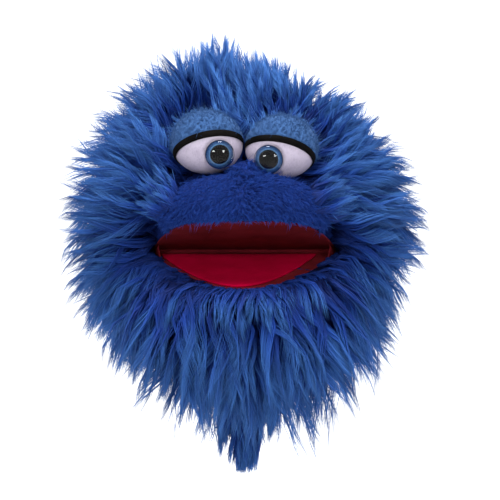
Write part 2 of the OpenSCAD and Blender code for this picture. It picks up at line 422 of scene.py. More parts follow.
def on_ellipsoid(rng, count, centre, size, keep):
    """Points spread evenly on an ellipsoid where keep(points) holds, with their normals."""
    found, normals, got = [], [], 0
    while got < count:
        way = unit(rng.normal(size=(count * 4, 3)))
        stretch = np.linalg.norm(way / size, axis=1)
        way = way[rng.random(len(way)) < stretch / stretch.max()]
        points = centre + way * size
        kept = keep(points)
        found.append(points[kept])
        normals.append(unit(way[kept] / size))
        got += int(kept.sum())
    return np.concatenate(found)[:count], np.concatenate(normals)[:count]


def nearest(points, centres):
    """The index of the nearest centre to each point."""
    result = np.empty(len(points), int)
    for start in range(0, len(points), 4000):
        block = points[start:start + 4000]
        apart = ((block[:, None, :] - centres[None, :, :]) ** 2).sum(-1)
        result[start:start + 4000] = apart.argmin(1)
    return result


RINGS = 5
STRAYS = 0.1


def lock_paths(rng, roots, normals, comb, length, lift, droop, wave):
    """Middle lines that leave the skin, turn to the combed way and sag: one row of points a lock."""
    steps = np.linspace(0, 1, RINGS + 1)
    points = [np.zeros_like(roots)]
    sideways = unit(np.cross(comb, normals) + 1e-6)
    phase = rng.random(len(roots)) * 2 * math.pi
    for step in range(RINGS):
        t = (steps[step] + steps[step + 1]) / 2
        way = normals * (lift * (1 - t) ** 1.6)[:, None] + comb * (0.35 + 0.75 * t)
        way = way + DOWN * (droop * t ** 1.2)[:, None]
        way = way + sideways * (wave * np.cos(phase + 5.0 * t))[:, None]
        points.append(points[-1] + unit(way) * (length / RINGS)[:, None])
    return np.stack(points, 1)


def coat(rng, sample, strands, locks, style):
    """Strands gathered into pointed locks, which style() gives a comb, length, lift, droop and wave."""
    roots, _ = sample(rng, strands)
    centres, lock_normals = sample(rng, locks)
    comb, length, lift, droop, wave = style(rng, centres, lock_normals)
    shapes = lock_paths(rng, centres, lock_normals, comb, length, lift, droop, wave)
    owner = nearest(roots, centres)
    t = np.linspace(0, 1, RINGS + 1)[None, :, None]
    stray = rng.random(strands) < STRAYS
    gather = np.where(stray, 0.25, rng.uniform(0.75, 0.97, strands))[:, None, None]
    share = rng.uniform(0.62, 1.0, strands) * np.where(stray, 0.9, 1.0)
    pull = gather * ease(t, 0.0, 0.85)
    start = roots[:, None, :] * (1 - pull) + centres[owner][:, None, :] * pull
    shape = shapes[owner] * share[:, None, None]
    drift = unit(rng.normal(size=(strands, 3)))[:, None, :]
    drift = drift * (rng.uniform(0.2, 1.6, strands) * MM)[:, None, None]
    wisp = unit(rng.normal(size=(strands, 3)))[:, None, :] * np.where(stray, 7, 0)[:, None, None] * MM
    paths = fenced(start + shape + drift * t + wisp * t ** 2)
    tone = np.clip(0.6 * rng.random(locks)[owner] + 0.4 * rng.random(strands), 0, 0.999)
    return paths, tone


def strand_object(name, rng, paths, tone, width, look):
    """One mesh of closed three-sided strands that taper to a point."""
    count, points, _ = paths.shape
    rings = points - 1
    along = unit(np.gradient(paths, axis=1))
    other = unit(rng.normal(size=(count, 1, 3)))
    side = unit(np.cross(along, other))
    up = np.cross(along, side)
    t = np.linspace(0, 1, points)
    taper = (1 - 0.75 * t[:rings] ** 1.5) * (0.75 + 0.25 * np.sin(math.pi * t[:rings]))
    radius = (width * rng.uniform(0.7, 1.25, count))[:, None] * taper[None, :]
    angles = np.arange(3) * 2 * math.pi / 3
    cos, sin = np.cos(angles), np.sin(angles)
    ring = side[:, :rings, None, :] * cos[:, None] + up[:, :rings, None, :] * sin[:, None]
    ring = paths[:, :rings, None, :] + ring * radius[:, :, None, None]
    vertices = np.concatenate([ring.reshape(count, rings * 3, 3), paths[:, -1:, :]], 1)
    per = rings * 3 + 1
    quads = grid_faces(rings, 3, True)
    quad_uv = [[(j / 3, t[r]), ((j + 1) / 3, t[r]), ((j + 1) / 3, t[r + 1]), (j / 3, t[r + 1])]
               for r in range(rings - 1) for j in range(3)]
    last = (rings - 1) * 3
    tris = [(last + j, last + (j + 1) % 3, per - 1) for j in range(3)] + [(2, 1, 0)]
    tri_uv = [[(j / 3, t[-2]), ((j + 1) / 3, t[-2]), ((j + 0.5) / 3, 1.0)] for j in range(3)]
    tri_uv.append([(0.8, 0.0), (0.5, 0.02), (0.2, 0.0)])
    corners_of = np.concatenate([np.array(quads).ravel(), np.array(tris).ravel()])
    sizes = np.array([4] * len(quads) + [3] * len(tris))
    uv_of = np.concatenate([np.array(quad_uv).reshape(-1, 2), np.array(tri_uv).reshape(-1, 2)])
    mesh = bpy.data.meshes.new(name)
    mesh.vertices.add(count * per)
    mesh.vertices.foreach_set("co", vertices.ravel().astype(np.float32))
    loops = (np.arange(count)[:, None] * per + corners_of[None, :]).ravel()
    mesh.loops.add(len(loops))
    mesh.loops.foreach_set("vertex_index", loops.astype(np.int32))
    starts = np.concatenate([[0], np.cumsum(np.tile(sizes, count))[:-1]])
    mesh.polygons.add(len(starts))
    mesh.polygons.foreach_set("loop_start", starts.astype(np.int32))
    layer = mesh.uv_layers.new(name="OFBake")
    column = np.floor(tone * TONES)
    u = (column[:, None] + 0.1 + 0.8 * uv_of[None, :, 0]) / TONES
    v = np.broadcast_to(uv_of[None, :, 1], u.shape)
    layer.data.foreach_set("uv", np.stack([u, v], -1).ravel().astype(np.float32))
    mesh.update(calc_edges=True)
    mesh.validate()
    mesh.shade_smooth()
    mesh.materials.append(LOOKS[look])
    return new_object(name, mesh)


STRANDS_MOST = 7000
SHOW = 1.0


def fur_pieces(name, seed, sample, strands, spacing, style, attach,
               width=0.42 * MM, look="fur"):
    """A coat split into pieces of a size that exports whole; attach(piece, first) fastens each one."""
    rng = np.random.default_rng(seed)
    strands = int(strands * SHOW)
    locks = max(8, strands // int(spacing * SHOW))
    paths, tone = coat(rng, sample, strands, locks, style)
    pieces = math.ceil(strands / STRANDS_MOST)
    for index in range(pieces):
        part = slice(index, None, pieces)
        piece = strand_object(f"{name}_{index + 1}", rng, paths[part], tone[part],
                              width / math.sqrt(SHOW), look)
        attach(piece, index == 0)


def rides(body, *nodes):
    """Fastens a fur piece to a body; the first piece of a coat stands for the CAD nodes."""
    def fasten(piece, first):
        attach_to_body(piece, body)
        if first and nodes:
            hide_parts(*nodes)
    return fasten


FACE_Z = place(0, 0, 26)[2]


def radial(points):
    """The way out from the middle of the face, seen from the front."""
    return unit(np.stack([points[:, 0], 0 * points[:, 0], points[:, 2] - FACE_Z], 1))


def ruffled(rng, comb, amount):
    return unit(comb + rng.normal(size=comb.shape) * amount)


def between(rng, low, high, points):
    """A random value for each point."""
    return rng.uniform(low, high, len(points))


def above_palate(points, more=0.0):
    """Height of points over the palate's plane."""
    rel = points - FOLD
    return rel[:, 2] * math.cos(PALATE_UP) + rel[:, 1] * math.sin(PALATE_UP) - more


def below_floor(points):
    """Depth of points under the plane of the mouth's floor."""
    rel = points - FOLD
    return -(rel[:, 2] * math.cos(FLOOR_DOWN) - rel[:, 1] * math.sin(FLOOR_DOWN))


def in_oblong(points, height, half_w, half_h):
    """Whether points lie, seen from the front, in an oblong with round ends at a height over the fold."""
    x = np.maximum(np.abs(points[:, 0]) - (half_w - half_h) * MM, 0)
    z = points[:, 2] - FOLD[2] - height * MM
    return x * x + z * z < (half_h * MM) ** 2


def bare_face(points):
    """Whether points lie behind the muzzle or an eye."""
    front = points[:, 1] < HEAD[1]
    hidden = in_oblong(points, 30, 48, 26)
    for side in (-1, 1):
        centre = eye_centre(side)
        apart = (points - centre) / (EYE_SIZE * 0.86)
        hidden |= apart[:, 0] ** 2 + apart[:, 2] ** 2 < 1
    return front & hidden


def reach(points):
    """How far the pile stands past the skin, by the direction seen from the front."""
    angle = np.degrees(np.arctan2(points[:, 2] - HEAD[2], points[:, 0] - HEAD[0]))
    angles = [-180, -150, -125, -90, -60, -40, -25, 0, 30, 60, 90, 105, 125, 150, 180]
    lengths = [72, 70, 72, 74, 74, 70, 64, 68, 52, 40, 46, 62, 56, 64, 72]
    return np.interp(angle, angles, lengths) * MM


def swirl(points):
    """A slow change in the way the pile lies, the same for neighbouring locks."""
    x, y, z = (points[:, i] / MM for i in range(3))
    return np.stack([np.sin(z * 0.09 + 1.3) + 0.5 * np.sin(x * 0.16), 0.5 * np.sin(x * 0.1 + z * 0.07),
                     np.sin(x * 0.11 + 0.6) + 0.5 * np.sin(z * 0.17 + y * 0.1)], 1) * 0.6


def head_style(rng, points, normals):
    """Brushed outwards from the face: up into a crest, down at the jowls, and down at the back."""
    back = ease(points[:, 1], HEAD[1] + 5 * MM, HEAD[1] + 55 * MM)[:, None]
    rise = (points[:, 2] - FOLD[2])[:, None]
    aside = np.abs(points[:, 0])[:, None]
    away = radial(points) + np.array([0, 0.15, 0])
    away = away + DOWN * ease(-rise, -15 * MM, 45 * MM) * 0.9
    crest = ease(rise, 60 * MM, 80 * MM) * ease(-aside, -50 * MM, -10 * MM)
    peak = np.stack([(-22 * MM - points[:, 0]) / (90 * MM), 0 * points[:, 0] - 0.05,
                     0 * points[:, 0] + 1], 1)
    away = away * (1 - crest) + peak * crest
    behind = unit(radial(points) * 0.6 + normals * 0.3 + np.array([0, 0.1, -0.8]))
    flank = ease(np.abs(normals[:, :1]), 0.55, 1.0) * ease(points[:, 1:2], HEAD[1] - 45 * MM, HEAD[1])
    away = unit(away) + np.array([0, 0.55, -0.45]) * flank
    comb = unit(away) * (1 - back) + behind * back + swirl(points) * 0.35
    comb = ruffled(rng, comb, 0.16)
    length = reach(points) * between(rng, 0.75, 1.1, points)
    lift = between(rng, 0.25, 0.65, points)
    droop = between(rng, 0.1, 0.4, points) * (1 - crest[:, 0]) + 0.3 * back[:, 0]
    return comb, length, lift, droop, between(rng, 0.2, 0.65, points)


def beard_style(rng, points, normals):
    """Hangs down from the chin and parts a little to both sides."""
    across = points[:, 0] / (60 * MM)
    comb = np.stack([0.55 * across, -0.08 + 0 * across, -1 + 0 * across], 1)
    comb = ruffled(rng, comb + 0.28 * swirl(points), 0.14)
    wisp = 30 * np.exp(-((across - 0.6) / 0.16) ** 2) * (rng.random(len(points)) > 0.5)
    length = (96 - 22 * np.abs(across) + wisp) * MM * between(rng, 0.7, 1.08, points)
    lift = between(rng, 0.25, 0.6, points)
    return comb, length, lift, between(rng, 0.4, 0.8, points), between(rng, 0.25, 0.75, points)


def lip_style(rng, points, normals):
    """Leans out over the lower lip and down."""
    out = unit((points - place(0, -20, 0)) * (1, 1, 0))
    comb = ruffled(rng, out + DOWN * 0.4 + 0.15 * swirl(points), 0.15)
    length = between(rng, 22, 56, points) * MM
    lift = between(rng, 0.25, 0.5, points)
    return comb, length, lift, between(rng, 1.6, 2.6, points), between(rng, 0.3, 0.6, points)


def tab_style(rng, points, normals):
    """Hangs down and gathers towards the point of the tab."""
    across = points[:, 0] / (90 * MM)
    comb = ruffled(rng, np.stack([-0.7 * across, 0 * across - 0.1, 0 * across - 1], 1), 0.1)
    length = np.minimum(between(rng, 24, 52, points) * MM, points[:, 2] - TAB_LOW + 12 * MM)
    lift = between(rng, 0.1, 0.3, points)
    return comb, length, lift, 0.2 + 0 * length, between(rng, 0.1, 0.3, points)


def sleeve_style(rng, points, normals):
    """Hangs down, and ends a little below the hem."""
    comb = ruffled(rng, normals * 0.25 + DOWN, 0.15)
    room = points[:, 2] - SLEEVE_LOW[2] + rng.choice([2, 8, 20], len(points)) * MM
    length = np.minimum(30 * MM, room) * between(rng, 0.6, 1.15, points)
    return comb, length, between(rng, 0.15, 0.4, points), 0.3 + 0 * length, 0.15 + 0 * length


def head_roots(keep):
    return lambda rng, count: on_ellipsoid(rng, count, HEAD, SKIN, keep)


CROWN_HALF_W = 55 * MM
FRONT_Y = -4 * MM
JOWL_Z = FOLD[2] - 4 * MM


def front_upper(points):
    """The head's front over the jowls, without the mouth's opening, the muzzle and the eyes."""
    aside = np.abs(points[:, 0])
    low = (points[:, 1] < FOLD[1] + 3 * MM) & (aside < 66 * MM) & (above_palate(points) < 0)
    low |= (points[:, 1] < FOLD[1]) & (aside < 60 * MM) & (points[:, 2] < FOLD[2] + 20 * MM)
    return (points[:, 1] < FRONT_Y) & (points[:, 2] > JOWL_Z) & ~low & ~bare_face(points)


def front_lower(points):
    """The jowls, beside the chin."""
    return (points[:, 1] < FRONT_Y) & (points[:, 2] <= JOWL_Z) & (np.abs(points[:, 0]) >= 56 * MM)


def behind(points):
    """The head's back, without the opening for the sleeve."""
    neck = np.hypot(points[:, 0], points[:, 1]) < SLEEVE_R + 2 * MM
    return (points[:, 1] >= FRONT_Y) & ~(neck & (points[:, 2] < WRIST[2] + 10 * MM))


def chin_roots(rng, count):
    """Points on the chin, under the mouth's floor."""
    def keep(points):
        return (below_floor(points) > 0) & (points[:, 1] < FOLD[1] - 10 * MM)
    return on_ellipsoid(rng, count, CHIN, CHIN_SIZE, keep)


def lip_roots(rng, count):
    """Points on the chin's top, from the edge of the mouth's floor outwards."""
    across = np.sin(rng.uniform(-1, 1, count) * math.pi / 2) * 0.985
    edge = lips(across, *FLOOR_SHAPE[1:3], CORNER_BACK)
    forward = edge + (rng.random(count) * 1.5 - 0.7) * (3 + 14 * np.abs(across))
    flat = np.stack([across * 66, -forward, np.full(count, -1.6)], 1)
    turn = np.array(Matrix.Rotation(FLOOR_DOWN, 3, "X"))
    return FOLD + tilted(flat, FLOOR_DOWN) * MM, np.tile(turn @ (0, -0.4, 0.9), (count, 1))


def tab_roots(rng, count):
    """Points on the front of the sleeve and down its tab."""
    height = SLEEVE_HIGH[2] - (SLEEVE_HIGH[2] - TAB_LOW - 6 * MM) * rng.random(count) ** 0.9
    shoulder = SLEEVE_LOW[2] + 8 * MM
    narrow = np.clip((height - TAB_LOW) / (shoulder - TAB_LOW), 0.05, 1)
    turn = rng.uniform(-1, 1, count) * narrow * np.where(height > shoulder, 1.1, 0.66)
    out = np.stack([np.sin(turn), -np.cos(turn), 0 * turn], 1)
    points = out * (SLEEVE_R + 2.5 * MM)
    points[:, 2] = height
    return points, out


def sleeve_roots(rng, count):
    """Points round the sleeve, over its hem."""
    turn = rng.uniform(0, 2 * math.pi, count)
    height = rng.uniform(SLEEVE_LOW[2] + 8 * MM, SLEEVE_HIGH[2], count)
    return circle(SLEEVE_R + 1 * MM, height, turn), circle(1, 0, turn)


def brow(side, word):
    """Short pile that lies flat on the head behind an eye's rim, where the head shows from the side."""
    centre = eye_centre(side)

    def keep(points):
        apart = (points - centre) / EYE_SIZE
        ring = np.hypot(apart[:, 0], apart[:, 2])
        outer = (apart[:, 2] > -0.3) & (apart[:, 0] * side > -0.3)
        return (points[:, 1] < HEAD[1]) & (ring > 0.45) & (ring < 0.92) & outer

    def style(rng, points, normals):
        comb = ruffled(rng, unit((points - centre) * (1, 0, 1)) + np.array([0, 0.5, 0]), 0.12)
        length = between(rng, 10, 20, points) * MM
        lift = between(rng, 0.15, 0.3, points)
        return comb, length, lift, 0 * length, between(rng, 0.1, 0.3, points)
    fur_pieces(f"brow_pile_{word}", 82 + side, head_roots(keep), 1800, 20, style, rides("head"))


def crosses_jaw(piece, first):
    """Bakes a jowl's fur piece into place; it is fastened to no body."""
    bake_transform(piece)


def fur():
    crown = head_roots(lambda p: front_upper(p) & (np.abs(p[:, 0]) < CROWN_HALF_W))
    fur_pieces("crown_pile", 11, crown, 14000, 26, head_style, rides("head", "crown_fur"))
    for side, word in SIDES.items():
        cheek = head_roots(lambda p: front_upper(p) & (p[:, 0] * side >= CROWN_HALF_W))
        jowl = head_roots(lambda p: front_lower(p) & (p[:, 0] * side > 0))
        fur_pieces(f"cheek_pile_{word}", 12 + side, cheek, 7000, 26,
                   head_style, rides("head", f"cheek_fur_{word}"))
        brow(side, word)
        fur_pieces(f"jowl_pile_{word}", 22 + side, jowl, 6000, 26, head_style, crosses_jaw)
    fur_pieces("back_pile", 31, head_roots(behind), 21000, 30, head_style, rides("head", "back_fur"))
    fur_pieces("beard_pile", 41, chin_roots, 14000, 26, beard_style, rides("jaw", "beard_fur"))
    fur_pieces("lip_pile", 45, lip_roots, 6500, 26, lip_style, rides("jaw"))
    fur_pieces("tab_pile", 55, tab_roots, 3000, 40, tab_style, rides("sleeve"))
    fur_pieces("sleeve_pile", 51, sleeve_roots, 7000, 26, sleeve_style, rides("sleeve", "sleeve_fur"))


# ---- soft bodies under the fur


def soften(made, voxel, factor, iterations):
    modifier(made, "REMESH", mode="VOXEL", voxel_size=voxel)
    modifier(made, "SMOOTH", factor=factor, iterations=iterations)


def core(name, source, body):
    """A stuffed form in its backing cloth, shaped from the CAD solid that it stands for."""
    made = copy_of(name, source, "backing")
    soften(made, 3.0 * MM, 0.5, 6)
    made.data.shade_smooth()
    stands_for(made, body, "wadding_white", source)


def soft_bodies():
    core("head_stuffing", "head_wadding", "head")
    core("chin_stuffing", "chin_wadding", "jaw")


def muzzle():
    """The bare plush face: the muzzle, run up under the eyes as one form."""
    made = ball_object("muzzle_face", MUZZLE, MUZZLE_SIZE * (0.93, 1, 1), "plush")
    others = [ball_object("bridge", place(0, -48, 36), np.array([46, 22, 16]) * MM, "plush"),
              ball_object("nose", place(0, -56, 47), np.array([9, 12, 14]) * MM, "plush")]
    with bpy.context.temp_override(object=made, active_object=made, selected_objects=[made] + others,
                                   selected_editable_objects=[made] + others):
        bpy.ops.object.join()
    soften(made, 1.6 * MM, 0.6, 12)
    cut_below_palate(made, 2.2 * MM)
    made.data.shade_smooth()
    stands_for(made, "head", "plush_blue", "muzzle_plush", "muzzle_wadding")
    nap(made)


def cut_below_palate(made, height):
    """Pushes what hangs below a plane over the palate up to it, which leaves a flat closed underside."""
    co = vertices_of(made.data)
    under = np.minimum(above_palate(co, height), 0)
    normal = np.array([0, math.sin(PALATE_UP), math.cos(PALATE_UP)])
    move_vertices(made.data, co - under[:, None] * normal)


def mesh_roots(made, keep):
    """Samples points on a mesh's faces by area."""
    mesh = made.data
    mesh.calc_loop_triangles()
    co = vertices_of(mesh)
    tris = np.empty(len(mesh.loop_triangles) * 3, np.int32)
    mesh.loop_triangles.foreach_get("vertices", tris)
    a, b, c = (co[tris.reshape(-1, 3)[:, i]] for i in range(3))
    cross = np.cross(b - a, c - a)
    area = np.linalg.norm(cross, axis=1)
    area = np.where(keep((a + b + c) / 3), area, 0)

    def sample(rng, count):
        pick = rng.choice(len(area), count, p=area / area.sum())
        u, v = rng.random(count), rng.random(count)
        flip = u + v > 1
        u, v = np.where(flip, 1 - u, u), np.where(flip, 1 - v, v)
        points = a[pick] + (b - a)[pick] * u[:, None] + (c - a)[pick] * v[:, None]
        return points, unit(cross[pick])
    return sample


def nap(made):
    """The muzzle's short pile, lying down and outwards."""
    def style(rng, points, normals):
        comb = ruffled(rng, radial(points) * 0.5 + DOWN * 0.7 + swirl(points) * 0.25, 0.14)
        length = between(rng, 4.5, 7, points) * MM
        return comb, length, 0.5 + 0 * length, 0.1 + 0 * length, 0.1 + 0 * length

    def tuft_style(rng, points, normals):
        """Longer pile at the muzzle's ends, brushed back over the cheeks."""
        away = unit(points - place(0, -20, 14))
        comb = ruffled(rng, away + np.array([0, 1.4, 0.1]) + 0.2 * swirl(points), 0.12)
        length = between(rng, 20, 36, points) * MM
        lift = between(rng, 0.3, 0.5, points)
        return comb, length, lift, 0 * length, between(rng, 0.1, 0.3, points)
    front = MUZZLE[1] + 6 * MM
    sample = mesh_roots(made, lambda p: (above_palate(p) > 3 * MM) & (p[:, 1] < front))
    fur_pieces("muzzle_nap", 61, sample, 24000, 12, style, rides("head"), 0.24 * MM, "nap")
    ends = mesh_roots(made, lambda p: (above_palate(p) > 9 * MM) & (np.abs(p[:, 0]) > 44 * MM))
    fur_pieces("muzzle_tufts", 62, ends, 3600, 30, tuft_style, rides("head"))


# ---- eyes


def lid_frame(side):
    """The rotation of the lid's edge plane."""
    tilt = Matrix.Rotation(math.radians(side * 12), 3, "Y") @ Matrix.Rotation(math.radians(-27), 3, "X")
    return np.array(tilt)


def let_out(grow):
    return EYE_SIZE + np.array([0.6 * MM, grow, grow])


def lid_pole(side, grow):
    """How high an eye let out by grow stands over the lid's edge."""
    normal = lid_frame(side)[:, 2]
    return np.linalg.norm(normal * let_out(grow)) + LID_DROP * normal[2]


def cap_grid(side, grow, heights):
    """Rings of points on an eye let out by grow, at heights over the lid's edge."""
    centre = eye_centre(side)
    size = let_out(grow)
    normal = lid_frame(side)[:, 2]
    scaled = normal * size
    length = np.linalg.norm(scaled)
    pole = scaled / length
    east = unit(np.cross(pole, [0.0, 1.0, 0.0]))
    north = np.cross(pole, east)
    turn = turns(96)
    rows = []
    for height in heights:
        level = (np.dot([0, 0, -LID_DROP], normal) + height) / length
        level = min(max(level, -0.9999), 0.9999)
        flat = math.sqrt(1 - level * level)
        ring = pole * level + (east * np.cos(turn)[:, None] + north * np.sin(turn)[:, None]) * flat
        rows.append(centre + ring * size)
    return np.stack(rows)


def eye(side, word):
    centre = eye_centre(side)
    ball = ball_object(f"eyeball_plush_{word}", centre, EYE_SIZE, "white", 64, 96)
    seat_eyeball(ball, side)
    stands_for(ball, "head", "eye_white", f"eyeball_{word}")

    layers = []
    for grow in (1.6 * MM, 0.4 * MM):
        climb = np.cos(np.linspace(math.pi / 2, 0, 26))
        heights = 0.2 * MM + (lid_pole(side, grow) - 0.2 * MM) * climb
        layers.append(cap_grid(side, grow, heights))
    lid = shell_object(f"eyelid_plush_{word}", layers[0], layers[1], True, "lid")
    stands_for(lid, "head", "lid_plush", f"eyelid_{word}")

    def lies(rng, points, normals):
        """Short pile brushed up and outwards over the lid."""
        comb = ruffled(rng, np.array([side * 0.5, 0.2, 1.0]) + 0.2 * swirl(points), 0.2)
        length = between(rng, 1.3, 2.2, points) * MM
        return comb, length, 0.6 + 0 * length, 0.1 + 0 * length, 0.1 + 0 * length
    middle = EYE_SIZE + (0.3 * MM, MM, MM)
    outside = mesh_roots(lid, lambda p: np.linalg.norm((p - centre) / middle, axis=1) > 1)
    fur_pieces(f"lid_nap_{word}", 70 + side, outside, 7000, 8, lies, rides("head"),
               0.13 * MM, "lid_nap")

    heights = np.linspace(-4 * MM, 0.6 * MM, 7)
    band_out = cap_grid(side, 2.2 * MM, heights)
    band_in = cap_grid(side, 0.5 * MM, heights)
    bulge = np.sin(np.linspace(0, math.pi, 7))[:, None, None]
    band_out = band_in + (band_out - band_in) * (0.45 + 0.55 * bulge)
    band = shell_object(f"lid_band_{word}", band_out, band_in, True, "trim")
    stands_for(band, "head", "trim_black", f"lid_trim_{word}")


def iris_axes(side):
    """The iris disc's centre and the rotation whose Z points out of it."""
    centre = eye_centre(side) + np.array([-side * 8.5, -16.5, -8]) * MM
    turn = Matrix.Rotation(math.radians(-side * 10), 3, "Z") @ Matrix.Rotation(math.radians(10), 3, "X")
    return centre, np.array(turn @ Matrix.Rotation(math.radians(90), 3, "X"))


def seat_eyeball(ball, side):
    """Presses the plush in where the plastic eye is pulled against it."""
    centre, axes = iris_axes(side)
    local = (vertices_of(ball.data) - centre) @ axes
    apart = np.hypot(local[:, 0], local[:, 1])
    floor = -0.3 * MM + ease(apart, 10.2 * MM, 14 * MM) * 6 * MM
    press = (local[:, 2] > floor) & (apart < 13.9 * MM)
    local[:, 2] = np.where(press, floor, local[:, 2])
    move_vertices(ball.data, local @ axes.T + centre)


def set_look(nodes, material):
    for name in nodes:
        mesh = frame["nodes"][name].data
        mesh.materials.clear()
        mesh.materials.append(material)


def iris_look(side, word):
    """Blue plastic with a painted black ring, its rings laid round the iris disc's own axis."""
    centre, axes = iris_axes(side)
    material = new_material(f"iris_plastic_{word}", 0.4, Specular_IOR_Level=0.1)
    where = node(material, "TexCoord").outputs["Object"]
    for operation, vector in (("SUBTRACT", centre), ("CROSS_PRODUCT", axes[:, 2])):
        step = node(material, "VectorMath", operation=operation)
        step.inputs[1].default_value = tuple(vector)
        link(material, where, step.inputs[0])
        where = step.outputs["Vector"]
    far = node(material, "VectorMath", operation="LENGTH")
    link(material, where, far.inputs[0])
    share = worked(material, "DIVIDE", far.outputs["Value"], IRIS_R)
    rings = ramp(material, share, [
        (0.0, srgb(12, 11, 11)), (0.70, srgb(14, 14, 16)),
        (0.745, srgb(88, 128, 168)), (0.80, srgb(56, 94, 138)),
        (0.86, srgb(34, 68, 114)), (0.95, srgb(28, 58, 100)), (1.0, srgb(12, 22, 44))])
    speck = ramp(material, noise_of(material, 900, 4),
                 [(0.3, srgb(196, 200, 208)), (0.7, srgb(255, 255, 255))])
    paint(material, multiplied(material, rings, speck))
    bump(material, noise_of(material, 1500, 2), 0.05, 0.1 * MM)
    set_look([f"iris_{word}"], material)


def plastic_material(name, dark, light, roughness, shine=0.5):
    material = new_material(name, roughness, Specular_IOR_Level=shine)
    paint(material, ramp(material, noise_of(material, 400, 4), [(0.35, dark), (0.65, light)]))
    bump(material, noise_of(material, 2500, 2), 0.08, 0.1 * MM)
    return material


def lens_material():
    material = new_material("clear_lens", 0.03, Transmission_Weight=1.0, IOR=1.36)
    paint(material, ramp(material, noise_of(material, 120, 2),
                         [(0.3, srgb(244, 249, 255)), (0.7, srgb(255, 255, 255))]))
    return material


def lens(side, word):
    """A clear dome set a little straighter than the iris, which its foot is sunk into."""
    centre = iris_axes(side)[0]
    turned = Matrix.Rotation(math.radians(-side * 4), 3, "Z") @ Matrix.Rotation(math.radians(94), 3, "X")
    axes = np.array(turned)
    rim, rise, foot, around = 9.9, 3.6, 0.8, 96
    dome = (rim * rim + rise * rise) / (2 * rise)
    turn = turns(around)
    polar = np.linspace(0.004, math.asin(rim / dome) * 0.995, 30)
    profile = [(dome * math.sin(a), 2.2 + rise - dome + dome * math.cos(a)) for a in polar]
    profile += [(rim, 2.0), (rim - 0.1, foot), (rim - 0.6, foot), (0.05, foot)]
    rows = np.stack([circle(r, z, turn) for r, z in profile]) * MM
    points = centre + rows.reshape(-1, 3) @ axes.T
    last = (len(profile) - 1) * around
    faces = grid_faces(len(profile), around, True)
    faces += [tuple(range(around - 1, -1, -1)), tuple(range(last, last + around))]
    made = mesh_object(f"lens_dome_{word}", points, faces, "lens")
    stands_for(made, "head", "lens_clear", f"eye_lens_{word}")


def board_material():
    """Board with the dark red lining glued round it."""
    material = new_material("lined_board", 0.9, Specular_IOR_Level=0.1)
    fibres = noise_of(material, 500, 6, (1, 0.25, 1))
    paint(material, ramp(material, fibres, [(0.3, srgb(70, 22, 24)), (0.7, srgb(96, 36, 36))]))
    bump(material, fibres, 0.3, 0.2 * MM)
    return material


def carried_over():
    """Looks for the CAD nodes that stay, and the lenses over them."""
    for side, word in SIDES.items():
        iris_look(side, word)
    set_look(["pupil_left", "pupil_right"],
             plastic_material("black_plastic", srgb(6, 5, 5), srgb(16, 14, 14), 0.4, 0.02))
    LOOKS["lens"] = lens_material()
    for side, word in SIDES.items():
        lens(side, word)
    set_look(["eye_washer_left", "eye_washer_right"],
             plastic_material("white_plastic", srgb(206, 206, 200), srgb(232, 232, 226), 0.45))
    set_look(["upper_mouth_board", "lower_mouth_board"], board_material())


# ---- mouth


def lips(across, length, power, back):
    """Forward reach of a mouth outline at each share of its half width."""
    return back + (length - back) * (1 - np.abs(across) ** power)


def mouth_sheet(name, shape, low, thick, tilt, look, wrinkle, aside=0.0):
    """A cloth with a mouth outline lying over the plane through the fold, tilted up at the front."""
    width, length, power, back = shape
    rows, columns = 40, 81
    across = np.sin(np.linspace(-math.pi / 2, math.pi / 2, columns))
    forward = np.linspace(0, 1, rows)[:, None]
    front = lips(across, length, power, back)[None, :]
    y = back + (front - back) * forward
    x = np.broadcast_to(across[None, :] * width, y.shape) + aside
    fade = np.sin(math.pi * forward) * (1 - across[None, :] ** 2)
    ripple = wrinkle * fade * (np.sin(x * 0.21 + y * 0.05) + 0.6 * np.sin(y * 0.19 - x * 0.06))
    outer = np.stack([x, -y, low + thick + ripple], -1)
    inner = np.stack([x, -y, low + ripple], -1)
    grids = [FOLD + tilted(grid, tilt) * MM for grid in (outer, inner)]
    if tilt < 0:
        grids.reverse()
    return shell_object(name, grids[0], grids[1], False, look)


def mouth():
    palate = mouth_sheet("palate_cloth", PALATE_SHAPE, 0.8, 1.2, -PALATE_UP, "maroon", -0.5)
    stands_for(palate, "head", "felt_dark_red", "palate_lining")
    floor = mouth_sheet("floor_cloth", FLOOR_SHAPE, -2.0, 1.2, FLOOR_DOWN, "maroon", 0.25)
    stands_for(floor, "jaw", "felt_dark_red", "floor_lining")
    tongue = mouth_sheet("tongue_felt", TONGUE_SHAPE, -0.6, 1.3, FLOOR_DOWN, "red", 0.2, -4.0)
    stands_for(tongue, "jaw", "felt_red", "tongue")
    fold_roll()


def fold_roll():
    """The lining where it turns back at the hinge, as a soft roll."""
    steps, around = 65, 24
    along = np.linspace(-64, 64, steps)
    turn = turns(around)
    swell = 1.7 + 0.2 * np.sin(along * 0.35) * np.cos(along * 0.11)
    swell = swell * np.clip((66 - np.abs(along)) / 6, 0.3, 1)
    rows = np.stack([np.broadcast_to(along[:, None], (steps, around)),
                     swell[:, None] * np.cos(turn)[None, :], swell[:, None] * np.sin(turn)[None, :]], -1)
    points = FOLD + rows.reshape(-1, 3) * MM
    faces = grid_faces(steps, around, True)
    faces += [tuple(range(around - 1, -1, -1)), tuple(range((steps - 1) * around, steps * around))]
    made = mesh_object("fold_cloth", points, faces, "maroon")
    stands_for(made, "head", "felt_dark_red", "mouth_fold")


def side_edge(shape, forward):
    """Half the mouth's width at a distance in front of the fold."""
    _, length, power, _ = shape
    past = np.maximum(forward - CORNER_BACK, 0)
    return CORNER_HALF_W * (1 - past / (length - CORNER_BACK)) ** (1 / power)


